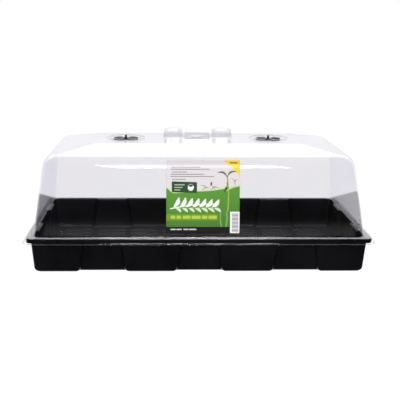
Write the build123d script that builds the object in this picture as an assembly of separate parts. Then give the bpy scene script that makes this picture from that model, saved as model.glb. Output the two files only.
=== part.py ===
"""Humidity dome tray: a black seed tray with a clear lift-off dome, two rotary vents and a front label.

Millimetres, +Z up. The origin is on the surface the tray stands on, under the middle of the tray.
+X runs along the long side and -Y is the labelled front.
"""

from build123d import *
import math
import os

# ---------------------------------------------------------------- driving sizes: seed tray
RIM_LENGTH = 578.0  # outside of the tray's turned-down rim, along X
RIM_WIDTH = 311.0  # the same along Y
RIM_CORNER = 10.0  # plan radius of the rim's corners
TRAY_HEIGHT = 61.2  # floor the tray stands on to the top of its rim
TRAY_WALL = 1.5  # thickness of the tray's sheet
LEDGE = 6.3  # flat ledge between the rim's edge and the tub
RIM_DROP = 7.2  # how far the rim's edge turns down
TRAY_DRAFT = 4.5  # slope of the tub's walls, degrees
TUB_CORNER = 8.0  # plan radius of the tub's four corners
TUB_BOTTOM_RADIUS = 7.0  # rounding between walls and floor

RECESS_DEPTH = 7.0  # how far each stiffening recess stands in from the wall
RECESS_SPREAD = 8.0  # how much each side of a recess widens from rim to floor
RECESS_SLANT = 3.0  # how much each side of a recess closes in, over its depth
LONG_RECESSES = 3  # recesses on each long side
LONG_RECESS_WIDTH = 63.0  # at the rim
LONG_END_POCKET = 87.7  # from the tub's end to the first recess
SHORT_RECESSES = 2
SHORT_RECESS_WIDTH = 59.0
SHORT_END_POCKET = 44.5

RIB_HEIGHT = 3.5  # the floor's raised bars
RIB_WIDTH = 11.0
RIB_PITCH = 22.0  # centre to centre, along Y
RIB_CHANNEL = 8.0  # drainage channel between bars that follow each other along X
RIB_TAPER = 1.2  # how much each side of a bar leans in
RIB_TARGET_LENGTH = 54.0  # bars are made about this long, to fill the floor evenly
RIB_MARGIN = 4.0  # flat floor kept free round the bars

# ---------------------------------------------------------------- driving sizes: dome
DOME_WALL = 1.2  # thickness of the dome's sheet
SKIRT_CLEARANCE = 0.6  # between the tray's rim and the skirt round it
SKIRT_DROP = 8.6  # how far the skirt hangs below the tray's rim
LIP_WIDTH = 4.7  # outward lip at the skirt's lower edge
SIDE_LEDGE = 8.0  # from the skirt's outside to the foot of the dome's wall, along the long sides
END_LEDGE = 11.5  # the same at the two ends
ROOF_HEIGHT = 208.0  # flat crown of the roof, from the floor
SHOULDER_HEIGHT = 192.5  # where wall and roof slope would meet without their rounding
SIDE_DRAFT = 6.4  # slope of the dome's long walls, degrees
END_DRAFT = 7.4  # slope of its end walls
SHOULDER_RADIUS = 24.0  # rounding between wall and roof slope
SHOULDER_STEPS = 5  # flats that stand for that rounding
FOOT_CORNER = 16.0  # plan radius at the foot of the dome's wall
SHOULDER_CORNER = 32.0  # plan radius where the shoulder's rounding starts
CROWN_LENGTH = 370.0  # flat crown
CROWN_WIDTH = 130.0
CROWN_CORNER = 13.0

HANDLE_LENGTH = 126.0  # moulded grip on the crown
HANDLE_HEIGHT = 17.5
LOBE_LENGTH = 38.0  # the grip's two wider ends
LOBE_WIDTH = 36.0
LOBE_CORNER = 8.0
LOBE_DRAFT = 5.0  # how far the lobes' sides lean in over their height
GRIP_WIDTH = 15.0  # the narrow middle, which the fingers close on
GRIP_DRAFT = 2.0
GRIP_DIP = 1.0  # the middle is this much lower than the lobes
SCOOP_WIDTH = 24.0  # finger hollow beside the grip, measured from the grip
SCOOP_DEPTH = 4.0
SCOOP_GAP = 1.5  # flat crown left between a scoop and a lobe
SCOOP_CORNER = 5.0
SCOOP_DRAFT = 3.0

# ---------------------------------------------------------------- driving sizes: vents
VENT_SPACING = 257.0  # between the two vents' centres
SEAT_RADIUS = 33.5  # inside of the round vent seat
SEAT_DEPTH = 3.0  # its floor lies this far below the crown
SEAT_RING = 1.4  # its ring stands this far above the crown
SLOT_COUNT = 4
SLOT_INNER_RADIUS = 11.0
SLOT_OUTER_RADIUS = 22.0
SLOT_ANGLE = 38.0  # degrees
PIVOT_RADIUS = 3.0
PIVOT_CLEARANCE = 0.05
ROTOR_GAP = 0.3  # rotor above the seat's floor, and its snap head below it
ROTOR_THICKNESS = 1.6
PETAL_OVERLAP = 1.5  # how far a petal covers past its slot
HUB_RADIUS = 6.5
SPOKE_WIDTH = 3.0
KNOB_LENGTH = 15.0
KNOB_WIDTH = 4.5
KNOB_HEIGHT = 5.8
KNOB_CORNER = 1.2
KNOB_DRAFT = 0.5
SNAP_HEAD_RADIUS = 3.9
SNAP_HEAD_LENGTH = 2.4
LEFT_ROTOR_TURN = 45.0  # the rotor's rest position: petals half way between slots
RIGHT_ROTOR_TURN = 36.0

# ---------------------------------------------------------------- driving sizes: label
LABEL_WIDTH = 122.0
LABEL_GAP = 8.4  # from the tray's rim up to the label's lower edge
LABEL_HEIGHT = 120.0  # from its lower edge to its upper one, straight up
LABEL_SHIFT = 4.7  # the label's middle is this far right of the dome's
LABEL_THICKNESS = 0.3

# ---------------------------------------------------------------- sizes that follow
TUB_LENGTH = RIM_LENGTH - 2 * LEDGE
TUB_WIDTH = RIM_WIDTH - 2 * LEDGE
RIM_TOP = TRAY_HEIGHT

SKIRT_INNER_LENGTH = RIM_LENGTH + 2 * SKIRT_CLEARANCE
SKIRT_INNER_WIDTH = RIM_WIDTH + 2 * SKIRT_CLEARANCE
SKIRT_OUTER_LENGTH = SKIRT_INNER_LENGTH + 2 * DOME_WALL
SKIRT_OUTER_WIDTH = SKIRT_INNER_WIDTH + 2 * DOME_WALL
LIP_LENGTH = SKIRT_OUTER_LENGTH + 2 * LIP_WIDTH
LIP_OUTER_WIDTH = SKIRT_OUTER_WIDTH + 2 * LIP_WIDTH
SKIRT_FOOT = RIM_TOP - SKIRT_DROP
LABEL_FOOT = RIM_TOP + LABEL_GAP
LABEL_TOP = LABEL_FOOT + LABEL_HEIGHT
FOOT_LENGTH = SKIRT_OUTER_LENGTH - 2 * END_LEDGE
FOOT_WIDTH = SKIRT_OUTER_WIDTH - 2 * SIDE_LEDGE

SEAT_FLOOR = ROOF_HEIGHT - SEAT_DEPTH
VENT_X = VENT_SPACING / 2
HOLE_RADIUS = PIVOT_RADIUS + PIVOT_CLEARANCE


def rounded_slab(length, width, corner, low, high):
    """A plate with rounded plan corners, from height low to high."""
    plan = Plane.XY.offset(low) * RectangleRounded(length, width, corner)
    return extrude(plan, high - low)


def stacked(faces):
    """A solid with straight sides from each face to the next."""
    return loft(faces, ruled=True)


# ---------------------------------------------------------------- tray
def recess_centres(side, count, width, end_pocket):
    """Middles of the recesses on one side of the tub, evenly spaced about its middle."""
    outermost = side / 2 - end_pocket - width / 2
    if count == 1:
        return [0.0]
    pitch = 2 * outermost / (count - 1)
    return [-outermost + i * pitch for i in range(count)]


def side_points(half_side, half_across, count, width, end_pocket, depth, widen):
    """Corner points of one wavy side, from left to right, seen with the tub's middle above it."""
    points = []
    for centre in recess_centres(2 * half_side, count, width, end_pocket):
        mouth = width / 2 + widen
        bottom = mouth - RECESS_SLANT
        points += [
            (centre - mouth, -half_across),
            (centre - bottom, -half_across + depth),
            (centre + bottom, -half_across + depth),
            (centre + mouth, -half_across),
        ]
    return points


def turned(points, quarter):
    """Points turned by a number of right angles about the middle."""
    for _ in range(quarter):
        points = [(-y, x) for x, y in points]
    return points


def tub_outline(height, inset, widen):
    """Outline of the tub at one height, inset from its mouth. widen opens its recesses."""
    half_x = TUB_LENGTH / 2
    half_y = TUB_WIDTH / 2
    long_side = side_points(
        half_x, half_y, LONG_RECESSES, LONG_RECESS_WIDTH, LONG_END_POCKET, RECESS_DEPTH, widen
    )
    short_side = side_points(
        half_y, half_x, SHORT_RECESSES, SHORT_RECESS_WIDTH, SHORT_END_POCKET, RECESS_DEPTH, widen
    )
    long_side = [(x, y + inset) for x, y in long_side]
    short_side = [(x, y + inset) for x, y in short_side]
    corner_x = half_x - inset
    corner_y = half_y - inset
    points = [(-corner_x, -corner_y)] + long_side
    points += [(corner_x, -corner_y)] + turned(short_side, 1)
    points += [(corner_x, corner_y)] + turned(long_side, 2)
    points += [(-corner_x, corner_y)] + turned(short_side, 3)
    outline = make_face(Polyline(*points, close=True))
    corners = [v for v in outline.vertices() if abs(abs(v.X) - corner_x) < 1e-6 and abs(abs(v.Y) - corner_y) < 1e-6]
    return Plane.XY.offset(height) * fillet(corners, TUB_CORNER)


def tub_solid(wall):
    """The tub's filled form, taken in by wall on every side, and open at the rim if wall is set."""
    slope = math.tan(math.radians(TRAY_DRAFT))
    straight = TRAY_HEIGHT - TUB_BOTTOM_RADIUS
    foot_inset = straight * slope
    radius = TUB_BOTTOM_RADIUS - wall
    faces = []
    for step in range(4):
        angle = math.radians(90 - 30 * step)
        height = TUB_BOTTOM_RADIUS - radius * math.sin(angle)
        inset = foot_inset + TUB_BOTTOM_RADIUS - radius * math.cos(angle)
        faces.append(tub_outline(height, inset, RECESS_SPREAD + wall))
    faces.append(tub_outline(TRAY_HEIGHT, wall, wall))
    solid = stacked(faces)
    if wall:
        solid += extrude(faces[-1], TRAY_WALL)
    return solid


def floor_bars(top, shrink):
    """The floor's raised bars up to height top, each smaller by shrink all round."""
    slope = math.tan(math.radians(TRAY_DRAFT))
    edge = (TRAY_HEIGHT - TUB_BOTTOM_RADIUS) * slope + TUB_BOTTOM_RADIUS + RECESS_DEPTH + RIB_MARGIN
    room_x = TUB_LENGTH - 2 * edge
    room_y = TUB_WIDTH - 2 * edge
    columns = max(1, round(room_x / (RIB_TARGET_LENGTH + RIB_CHANNEL)))
    rows = 1 + int((room_y - RIB_WIDTH) / RIB_PITCH)
    length = room_x / columns - RIB_CHANNEL
    foot = top - RIB_HEIGHT
    base = Plane.XY.offset(foot) * Rectangle(length - 2 * shrink, RIB_WIDTH - 2 * shrink)
    crest = Plane.XY.offset(top) * Rectangle(
        length - 2 * shrink - 2 * RIB_TAPER, RIB_WIDTH - 2 * shrink - 2 * RIB_TAPER
    )
    bar = stacked([base, crest])
    return [place * bar for place in GridLocations(room_x / columns, RIB_PITCH, columns, rows)]


def make_tray():
    """One formed sheet: tub with recessed walls, ribbed floor, flat ledge and turned-down rim."""
    rim = rounded_slab(RIM_LENGTH, RIM_WIDTH, RIM_CORNER, RIM_TOP - RIM_DROP, RIM_TOP)
    rim -= rounded_slab(
        RIM_LENGTH - 2 * TRAY_WALL,
        RIM_WIDTH - 2 * TRAY_WALL,
        RIM_CORNER - TRAY_WALL,
        RIM_TOP - RIM_DROP,
        RIM_TOP - TRAY_WALL,
    )
    tray = rim + tub_solid(0.0) - tub_solid(TRAY_WALL)
    tray += floor_bars(TRAY_WALL + RIB_HEIGHT, 0.0)
    tray -= floor_bars(RIB_HEIGHT, TRAY_WALL)
    return tray


# ---------------------------------------------------------------- dome
def dome_stations(offset):
    """(height, side inset, end inset, plan radius) up the dome's skin, moved out by offset."""
    draft = math.radians(SIDE_DRAFT)
    end_lean = math.tan(math.radians(END_DRAFT)) - math.tan(draft)
    shoulder_inset = (SHOULDER_HEIGHT - RIM_TOP) * math.tan(draft)
    run = (FOOT_WIDTH - CROWN_WIDTH) / 2 - shoulder_inset
    pitch = math.atan2(ROOF_HEIGHT - SHOULDER_HEIGHT, run)
    turn = math.pi / 2 - draft - pitch
    back = SHOULDER_RADIUS * math.tan(turn / 2)
    centre_height = SHOULDER_HEIGHT - back * math.cos(draft) - SHOULDER_RADIUS * math.sin(draft)
    centre_inset = shoulder_inset - back * math.sin(draft) + SHOULDER_RADIUS * math.cos(draft)
    reach = SHOULDER_RADIUS + offset
    foot_inset = -offset / math.cos(draft)
    stations = [(RIM_TOP, foot_inset, foot_inset, FOOT_CORNER + offset)]
    for step in range(SHOULDER_STEPS + 1):
        angle = draft + turn * step / SHOULDER_STEPS
        inset = centre_inset - reach * math.cos(angle)
        height = centre_height + reach * math.sin(angle)
        corner = SHOULDER_CORNER - SHOULDER_RADIUS * (math.cos(draft) - math.cos(angle)) + offset
        end_inset = inset + (height - RIM_TOP) * end_lean
        stations.append((height, inset, end_inset, corner))
    return stations


def dome_form(offset):
    """The dome's filled form above the tray's rim, with its skin moved out by offset."""
    faces = []
    for height, side_inset, end_inset, corner in dome_stations(offset):
        outline = RectangleRounded(FOOT_LENGTH - 2 * end_inset, FOOT_WIDTH - 2 * side_inset, corner)
        faces.append(Plane.XY.offset(height) * outline)
    crown = RectangleRounded(CROWN_LENGTH, CROWN_WIDTH, CROWN_CORNER)
    faces.append(Plane.XY.offset(ROOF_HEIGHT + offset) * crown)
    return stacked(faces)


def tapered(length, width, corner, lean, low, high):
    """A block that is length by width at height low and leans in by lean on each side."""
    wide = Plane.XY.offset(low) * RectangleRounded(length, width, corner)
    slim = Plane.XY.offset(high) * RectangleRounded(length - 2 * lean, width - 2 * lean, corner)
    return stacked([wide, slim])


def handle_form(wall):
    """The grip's filled form, taken in by wall: two lobes joined by a narrow bar."""
    low = ROOF_HEIGHT - DOME_WALL
    high = ROOF_HEIGHT + HANDLE_HEIGHT - wall
    lobe = tapered(
        LOBE_LENGTH - 2 * wall, LOBE_WIDTH - 2 * wall, LOBE_CORNER - wall, LOBE_DRAFT, low, high
    )
    lobe_x = (HANDLE_LENGTH - LOBE_LENGTH) / 2
    bar_low = Plane.XY.offset(low) * Rectangle(2 * lobe_x, GRIP_WIDTH - 2 * wall)
    bar_high = Plane.XY.offset(high - GRIP_DIP) * Rectangle(
        2 * lobe_x, GRIP_WIDTH - 2 * wall - 2 * GRIP_DRAFT
    )
    return stacked([bar_low, bar_high]) + Pos(-lobe_x, 0, 0) * lobe + Pos(lobe_x, 0, 0) * lobe


def scoop_forms(wall):
    """The two finger hollows, one each side of the grip, made bigger by wall."""
    length = HANDLE_LENGTH - 2 * LOBE_LENGTH - 2 * SCOOP_GAP
    middle = GRIP_WIDTH / 2 + SCOOP_GAP + SCOOP_WIDTH / 2
    low = ROOF_HEIGHT - SCOOP_DEPTH - wall
    wide = Plane.XY.offset(ROOF_HEIGHT) * RectangleRounded(
        length + 2 * wall, SCOOP_WIDTH + 2 * wall, SCOOP_CORNER
    )
    slim = Plane.XY.offset(low) * RectangleRounded(
        length - 2 * SCOOP_DRAFT + 2 * wall, SCOOP_WIDTH - 2 * SCOOP_DRAFT + 2 * wall, SCOOP_CORNER
    )
    scoop = stacked([slim, wide])
    return [Pos(0, side * middle, 0) * scoop for side in (-1, 1)]


def ring_sector(inner, outer, angle, low, high):
    """A slice of a round plate between two radii, centred on +X."""
    half = math.radians(angle) / 2
    start = (math.cos(half), -math.sin(half))
    end = (math.cos(half), math.sin(half))
    plan = make_face(
        [
            Line((inner * start[0], inner * start[1]), (outer * start[0], outer * start[1])),
            ThreePointArc(
                (outer * start[0], outer * start[1]), (outer, 0), (outer * end[0], outer * end[1])
            ),
            Line((outer * end[0], outer * end[1]), (inner * end[0], inner * end[1])),
            ThreePointArc(
                (inner * end[0], inner * end[1]), (inner, 0), (inner * start[0], inner * start[1])
            ),
        ]
    )
    return extrude(Plane.XY.offset(low) * plan, high - low)


def drum(radius, low, high):
    """A round plate or pin between two heights."""
    return extrude(Plane.XY.offset(low) * Circle(radius), high - low)


def add_vent_seat(dome, x):
    """Sets a round seat with its slots and pivot hole into the crown at x."""
    floor_low = SEAT_FLOOR - DOME_WALL
    ring_top = ROOF_HEIGHT + SEAT_RING
    cup = drum(SEAT_RADIUS + DOME_WALL, floor_low, ring_top) - drum(SEAT_RADIUS, SEAT_FLOOR, ring_top)
    for i in range(SLOT_COUNT):
        slot = ring_sector(SLOT_INNER_RADIUS, SLOT_OUTER_RADIUS, SLOT_ANGLE, floor_low, SEAT_FLOOR)
        cup -= Rot(0, 0, i * 360 / SLOT_COUNT) * slot
    cup -= drum(HOLE_RADIUS, floor_low, SEAT_FLOOR)
    hole = drum(SEAT_RADIUS, ROOF_HEIGHT - DOME_WALL, ROOF_HEIGHT)
    return dome - Pos(x, 0, 0) * hole + Pos(x, 0, 0) * cup


def make_dome():
    """One clear formed sheet: lip, skirt, ledge, walls, sloped roof, crown, grip and vent seats."""
    skirt_corner = RIM_CORNER + SKIRT_CLEARANCE
    ledge_top = RIM_TOP + DOME_WALL
    flange = rounded_slab(
        SKIRT_OUTER_LENGTH, SKIRT_OUTER_WIDTH, skirt_corner + DOME_WALL, SKIRT_FOOT, ledge_top
    )
    flange += rounded_slab(
        LIP_LENGTH,
        LIP_OUTER_WIDTH,
        skirt_corner + DOME_WALL + LIP_WIDTH,
        SKIRT_FOOT,
        SKIRT_FOOT + DOME_WALL,
    )
    flange -= rounded_slab(SKIRT_INNER_LENGTH, SKIRT_INNER_WIDTH, skirt_corner, SKIRT_FOOT, RIM_TOP)
    inside = dome_form(-DOME_WALL)
    crown_room = handle_form(DOME_WALL)
    dome = flange + dome_form(0.0) + handle_form(0.0)
    dome = dome - inside - crown_room
    dome += scoop_forms(DOME_WALL)
    dome -= scoop_forms(0.0)
    for x in (-VENT_X, VENT_X):
        dome = add_vent_seat(dome, x)
    return dome


# ---------------------------------------------------------------- vents
def make_rotor(x, turn):
    """Turning shutter: four petals on spokes, a finger knob, and a pivot with a snap head."""
    low = SEAT_FLOOR + ROTOR_GAP
    high = low + ROTOR_THICKNESS
    petal_angle = SLOT_ANGLE + 2 * math.degrees(PETAL_OVERLAP / SLOT_OUTER_RADIUS)
    petal = ring_sector(
        SLOT_INNER_RADIUS - PETAL_OVERLAP, SLOT_OUTER_RADIUS + PETAL_OVERLAP, petal_angle, low, high
    )
    spoke = extrude(
        Plane.XY.offset(low) * Pos(SLOT_INNER_RADIUS / 2, 0) * Rectangle(SLOT_INNER_RADIUS, SPOKE_WIDTH),
        ROTOR_THICKNESS,
    )
    rotor = drum(HUB_RADIUS, low, high)
    for i in range(SLOT_COUNT):
        rotor += Rot(0, 0, i * 360 / SLOT_COUNT) * (petal + spoke)
    knob = tapered(KNOB_LENGTH, KNOB_WIDTH, KNOB_CORNER, KNOB_DRAFT, high, high + KNOB_HEIGHT)
    rotor += Rot(0, 0, 360 / SLOT_COUNT / 2) * knob
    head_top = SEAT_FLOOR - DOME_WALL - ROTOR_GAP
    rotor += drum(PIVOT_RADIUS, head_top, low)
    head_tip = Plane.XY.offset(head_top - SNAP_HEAD_LENGTH) * Circle(PIVOT_RADIUS - 0.8)
    rotor += stacked([Plane.XY.offset(head_top) * Circle(SNAP_HEAD_RADIUS), head_tip])
    return Pos(x, 0, 0) * Rot(0, 0, turn) * rotor


# ---------------------------------------------------------------- label
def make_label():
    """A thin printed sheet stuck on the front wall and the start of the shoulder's rounding."""
    sheet = dome_form(LABEL_THICKNESS) - dome_form(0.0)
    window = Pos(LABEL_SHIFT, -LIP_OUTER_WIDTH / 2, (LABEL_FOOT + LABEL_TOP) / 2) * Box(
        LABEL_WIDTH, LIP_OUTER_WIDTH, LABEL_TOP - LABEL_FOOT
    )
    return sheet & window


def main():
    """Builds each piece and writes it to its own file."""
    pieces = {
        "seed_tray": make_tray(),
        "dome_lid": make_dome(),
        "vent_rotor_left": make_rotor(-VENT_X, LEFT_ROTOR_TURN),
        "vent_rotor_right": make_rotor(VENT_X, RIGHT_ROTOR_TURN),
        "front_label": make_label(),
    }
    os.makedirs("parts", exist_ok=True)
    for name, piece in pieces.items():
        export_step(piece, f"parts/{name}.step")
        print(name, len(piece.solids()), round(piece.volume / 1000, 1), "cm3")


main()
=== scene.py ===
# %% [markdown]
# # A seed tray under a clear humidity dome
# The object is two formed plastic sheets, one black and one clear, with two small rotary vents and a
# printed label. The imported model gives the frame: every size that a piece shares with its neighbours is
# read from there, and the new pieces are surfaces worked out with numpy, because a formed sheet is
# exactly that: one continuous surface that is pulled over a mould.

import math

import bmesh
import bpy
import numpy as np
from mathutils import Matrix, Vector


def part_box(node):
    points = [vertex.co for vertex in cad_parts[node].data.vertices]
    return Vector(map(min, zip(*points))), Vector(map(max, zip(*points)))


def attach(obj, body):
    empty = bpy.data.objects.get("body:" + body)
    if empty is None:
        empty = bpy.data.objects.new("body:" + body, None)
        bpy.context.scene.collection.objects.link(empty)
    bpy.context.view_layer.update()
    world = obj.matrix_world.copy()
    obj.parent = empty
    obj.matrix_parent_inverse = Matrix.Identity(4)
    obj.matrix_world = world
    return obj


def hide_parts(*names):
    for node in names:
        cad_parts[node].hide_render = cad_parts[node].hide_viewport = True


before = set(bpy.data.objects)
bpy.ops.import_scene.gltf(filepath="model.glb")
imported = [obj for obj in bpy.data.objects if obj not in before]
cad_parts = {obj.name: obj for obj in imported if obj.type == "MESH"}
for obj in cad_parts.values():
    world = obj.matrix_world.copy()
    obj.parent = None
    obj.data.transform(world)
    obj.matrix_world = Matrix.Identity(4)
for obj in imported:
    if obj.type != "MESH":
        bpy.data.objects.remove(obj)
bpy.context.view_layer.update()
MM = 0.001
MERGE = 2e-6

# %% Sizes that come from the frame
tray_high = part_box("seed_tray")[1]
dome_low, dome_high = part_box("dome_lid")
label_low, label_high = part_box("front_label")
RIM_TOP = tray_high.z
LIP_X, LIP_Y, LIP_FOOT = dome_high.x, dome_high.y, dome_low.z
HANDLE_TOP = dome_high.z
rotor_nodes = ("vent_rotor_left", "vent_rotor_right")
vent_centres = [sum((Vector(c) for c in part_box(n)), Vector()) / 2 for n in rotor_nodes]
print("rim", round(RIM_TOP, 4), "vents", [tuple(round(c, 4) for c in v) for v in vent_centres])


# %% [markdown]
# ## Helpers for formed sheets
# A formed sheet can be made by modelling a box and bevelling it, or by sweeping one profile round a
# rounded rectangle. The sweep is chosen, because every ring of it has the same number of points, so wall,
# shoulder and roof stay one clean quad surface. The helpers give arcs for a profile, join rings into a
# mesh, and thicken it.

# %% Profile and mesh helpers
def smooth_step(t):
    """0 below 0, 1 above 1, and 3t^2 - 2t^3 between them."""
    t = np.clip(t, 0.0, 1.0)
    return t * t * (3 - 2 * t)


def arc(centre_s, centre_z, radius, start, end, steps):
    """Points (inset, height) on a circle: centre plus radius times cosine and sine of each angle."""
    angles = np.radians(np.linspace(start, end, steps + 1))
    return np.column_stack([centre_s + radius * np.cos(angles), centre_z + radius * np.sin(angles)])


def ring_faces(rings, points, first=0):
    """Quads between closed rings: point i of ring k joins i + 1, and the same two of ring k + 1."""
    k, i = np.meshgrid(np.arange(rings - 1), np.arange(points), indexing="ij")
    j = (i + 1) % points
    quads = np.stack([k * points + i, k * points + j, (k + 1) * points + j, (k + 1) * points + i], -1)
    return quads.reshape(-1, 4) + first


def grid_faces(rows, columns, first=0):
    """Quads of a grid of points stored row by row."""
    r, c = np.meshgrid(np.arange(rows - 1), np.arange(columns - 1), indexing="ij")
    corner = r * columns + c
    quads = np.stack([corner, corner + 1, corner + columns + 1, corner + columns], -1)
    return quads.reshape(-1, 4) + first


def mesh_piece(name, points, faces):
    """A smooth-shaded object at the origin from arrays of points and faces."""
    mesh = bpy.data.meshes.new(name)
    mesh.from_pydata(np.asarray(points).tolist(), [], [list(map(int, f)) for f in faces])
    mesh.update()
    piece = bpy.data.objects.new(name, mesh)
    bpy.context.scene.collection.objects.link(piece)
    mesh.polygons.foreach_set("use_smooth", np.ones(len(mesh.polygons), bool))
    return piece


def clean(piece, merge=MERGE):
    """Merges points that lie on each other and drops points that no face uses."""
    bm = bmesh.new()
    bm.from_mesh(piece.data)
    bmesh.ops.remove_doubles(bm, verts=bm.verts, dist=merge)
    loose = [v for v in bm.verts if not v.link_faces]
    bmesh.ops.delete(bm, geom=loose, context="VERTS")
    bm.to_mesh(piece.data)
    bm.free()
    return piece


def thicken(piece, thickness):
    """Gives a sheet its wall on the side that its faces look away from."""
    wall = piece.modifiers.new("wall", "SOLIDIFY")
    wall.thickness = thickness
    wall.offset = -1.0
    wall.use_even_offset = True
    wall.use_quality_normals = True


# %% [markdown]
# ## The dome's profile
# Seen from the rim inwards, the clear sheet is a thin lip, a skirt that drops round the tray's rim, a
# ledge that rests on it, a leaning wall, a rounded shoulder, a shallow roof slope and a flat crown. Each
# bend is a real arc: these small fillets are what catch the light in long bright lines. A station holds
# the inset from the lip's edge, the height, how much further in the end walls stand than the side walls,
# and the plan radius.

# %% Dome sizes
DOME_WALL = 1.2 * MM
CLEAR_OF_TRAY = 0.05 * MM  # keeps the ledge's underside off the tray's rim
LIP_WIDTH = 4.7 * MM
LIP_TOP = LIP_FOOT + DOME_WALL
LEDGE_TOP = RIM_TOP + DOME_WALL
SIDE_LEDGE, END_LEDGE = 8.0 * MM, 11.5 * MM
SIDE_DRAFT, END_DRAFT = math.radians(6.4), math.radians(7.4)
SHOULDER_RADIUS = 24.0 * MM
SHOULDER_HEIGHT = RIM_TOP + 131.3 * MM
ROOF_HEIGHT = RIM_TOP + 146.8 * MM
CROWN_X, CROWN_Y = 185.0 * MM, 65.0 * MM
CROWN_SOFTENING = 3.5 * MM
FOOT_CORNER, SHOULDER_CORNER, SKIRT_CORNER = 16.0 * MM, 32.0 * MM, 11.8 * MM
foot_side = LIP_WIDTH + SIDE_LEDGE
end_lean = math.tan(END_DRAFT) - math.tan(SIDE_DRAFT)


def wall_inset(height):
    """Inset of the side wall's outside at a height: the foot plus the rise times the draft's slope."""
    return foot_side + (height - RIM_TOP) * math.tan(SIDE_DRAFT)


shoulder_inset = wall_inset(SHOULDER_HEIGHT)
roof_pitch = math.atan2(ROOF_HEIGHT - SHOULDER_HEIGHT, LIP_Y - CROWN_Y - shoulder_inset)
shoulder_turn = math.pi / 2 - SIDE_DRAFT - roof_pitch
tangent = SHOULDER_RADIUS * math.tan(shoulder_turn / 2)
arc_height = SHOULDER_HEIGHT - tangent * math.cos(SIDE_DRAFT) - SHOULDER_RADIUS * math.sin(SIDE_DRAFT)
arc_inset = shoulder_inset - tangent * math.sin(SIDE_DRAFT) + SHOULDER_RADIUS * math.cos(SIDE_DRAFT)
print("shoulder arc from height", round((arc_height + SHOULDER_RADIUS * math.sin(SIDE_DRAFT)) / MM, 1), "mm")


def shoulder_point(angle, offset=0.0):
    """(inset, height) on the shoulder's arc at an angle above the horizontal, moved outwards by offset."""
    reach = SHOULDER_RADIUS + offset
    return arc_inset - reach * np.cos(angle), arc_height + reach * np.sin(angle)


# %% Dome stations
def dome_stations():
    """Rows of (side inset, height, extra end inset, plan radius), from the lip's edge to the crown's edge."""
    lip_bend, ledge_bend, foot_bend = 0.9 * MM, 1.3 * MM, 1.0 * MM
    foot_height = LEDGE_TOP + foot_bend
    foot_centre = wall_inset(foot_height) - foot_bend / math.cos(SIDE_DRAFT)
    lip = [(0.0, LIP_TOP - 0.3 * MM), (0.12 * MM, LIP_TOP - 0.05 * MM), (0.3 * MM, LIP_TOP)]
    skirt = arc(LIP_WIDTH - lip_bend, LIP_TOP + lip_bend, lip_bend, -90, 0, 5)
    ledge = arc(LIP_WIDTH + ledge_bend, LEDGE_TOP - ledge_bend, ledge_bend, 180, 90, 6)
    ledge_hold = [(LIP_WIDTH + ledge_bend + 0.3 * MM, LEDGE_TOP), (foot_centre - 0.3 * MM, LEDGE_TOP)]
    foot = arc(foot_centre, foot_height, foot_bend, -90, -math.degrees(SIDE_DRAFT), 6)
    wall_start = foot[-1, 1] + 1.5 * MM
    wall_end = arc_height + SHOULDER_RADIUS * math.sin(SIDE_DRAFT) - 1.5 * MM
    wall = [(wall_inset(z), z) for z in np.linspace(wall_start, wall_end, 5)]
    angles = SIDE_DRAFT + shoulder_turn * np.linspace(0, 1, 15)
    shoulder = np.column_stack(shoulder_point(angles))
    rows = [(s, z, 0.0, SKIRT_CORNER + LIP_WIDTH - s) for s, z in [*lip, *skirt, *ledge]]
    extra = END_LEDGE - SIDE_LEDGE
    rows += [(ledge_hold[0][0], LEDGE_TOP, 0.0, SKIRT_CORNER)]
    rows += [(ledge_hold[1][0], LEDGE_TOP, extra, FOOT_CORNER)]
    for s, z in [*foot, *wall]:
        share = (z - RIM_TOP) / (SHOULDER_HEIGHT - RIM_TOP)
        corner = FOOT_CORNER + (SHOULDER_CORNER - FOOT_CORNER) * share
        rows.append((s, z, extra + (z - RIM_TOP) * end_lean, corner))
    for angle, (s, z) in zip(angles, shoulder):
        corner = SHOULDER_CORNER - SHOULDER_RADIUS * (math.cos(SIDE_DRAFT) - math.cos(angle))
        rows.append((s, z, extra + (z - RIM_TOP) * end_lean, corner))
    return np.array(rows)


def roof_stations(last, crown_corner):
    """From the shoulder's last station to the crown: straight, then a Bezier bend at the crown's edge."""
    start = np.array([LIP_X - last[0] - last[2], LIP_Y - last[0], last[3], last[1]])
    edge = np.array([CROWN_X, CROWN_Y, crown_corner + CROWN_SOFTENING, ROOF_HEIGHT])
    share = CROWN_SOFTENING / (start[1] - CROWN_Y)
    before = edge + (start - edge) * share
    after = edge - np.array([CROWN_SOFTENING, CROWN_SOFTENING, CROWN_SOFTENING, 0.0])
    t = np.linspace(0, 1, 6)[:, None]
    bend = (1 - t) ** 2 * before + 2 * t * (1 - t) * edge + t**2 * after
    return np.vstack([start + (before - start) * 0.03, start + (before - start) * 0.5, bend])


# %% [markdown]
# ## The crown
# The crown carries the moulded grip with its two finger hollows, and the two round vent seats. It is one
# grid of points. Grip and hollows are heights over that grid. Round each vent the grid lines bend from a
# square into a circle, so that the seat's ring follows them exactly, and inside that circle the grid
# turns into spokes and rings, where the air slots are simply left open.

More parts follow.
